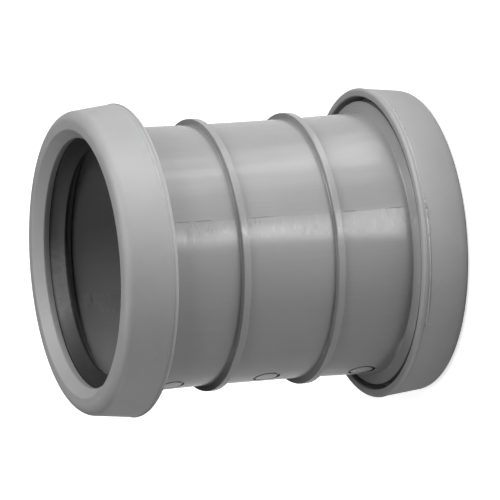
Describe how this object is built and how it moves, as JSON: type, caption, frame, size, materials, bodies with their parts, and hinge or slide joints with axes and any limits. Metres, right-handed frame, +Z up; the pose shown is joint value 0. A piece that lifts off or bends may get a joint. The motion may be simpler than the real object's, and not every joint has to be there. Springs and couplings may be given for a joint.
{
  "type": "double socket pipe coupling",
  "caption": "Grey plastic double socket coupling: a short ribbed tube with a rubber seal ring and a tapered retaining cap at each open mouth, to join two soil pipes.",
  "frame": {"origin": "centre of the lower mouth's rim, on the surface the coupling stands on", "axes": "+Z up along the shared axis of both sockets; +X towards one side of the mould's parting line; the round mould marks face -Y"},
  "size_m": [0.1408, 0.1408, 0.1626],
  "materials": {
    "body_plastic": "moulded grey plastic with a soft sheen",
    "cap_plastic": "moulded grey plastic, finely matt",
    "seal_rubber": "smooth dark rubber"
  },
  "bodies": {
    "root": {"body": "body_plastic", "upper_retaining_cap": "cap_plastic", "lower_retaining_cap": "cap_plastic", "upper_seal_ring": "seal_rubber", "lower_seal_ring": "seal_rubber"}
  },
  "joints": []
}
